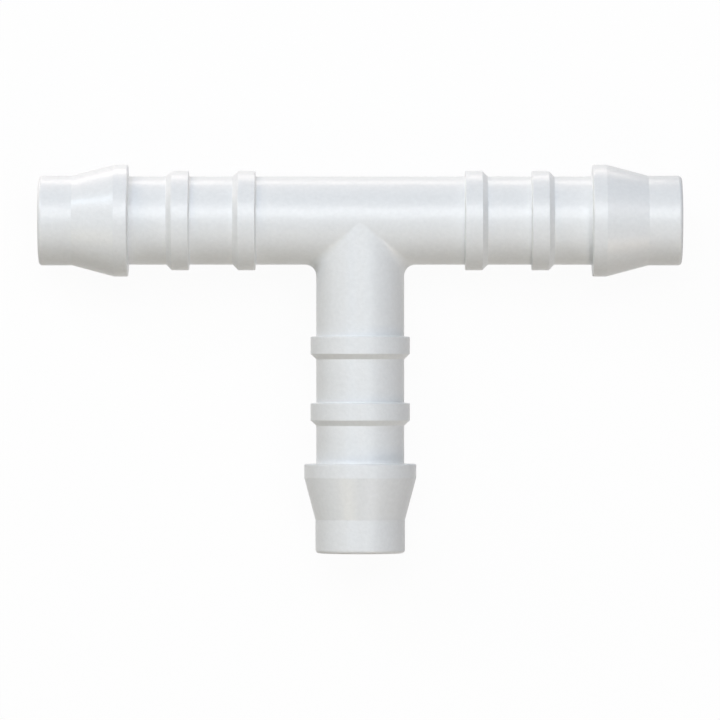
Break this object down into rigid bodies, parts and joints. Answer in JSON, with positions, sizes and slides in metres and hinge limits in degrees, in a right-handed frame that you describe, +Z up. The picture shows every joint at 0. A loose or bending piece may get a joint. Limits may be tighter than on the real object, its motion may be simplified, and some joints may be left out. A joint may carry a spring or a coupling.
{
  "type": "hose barb tee",
  "caption": "Moulded plastic tee that joins soft hoses: a straight run and a square branch, each arm ending in a hose barb.",
  "frame": {"origin": "where the centre lines of the run and of the branch cross, half a barb's width above the floor", "axes": "+X along the run, -Y along the branch towards its tip, +Z up from the floor it lies on, square to the plane of the three arms"},
  "size_m": [0.066, 0.0399, 0.0115],
  "materials": {
    "tee": "satin cool white"
  },
  "bodies": {
    "root": {"tee": "tee"}
  },
  "joints": []
}
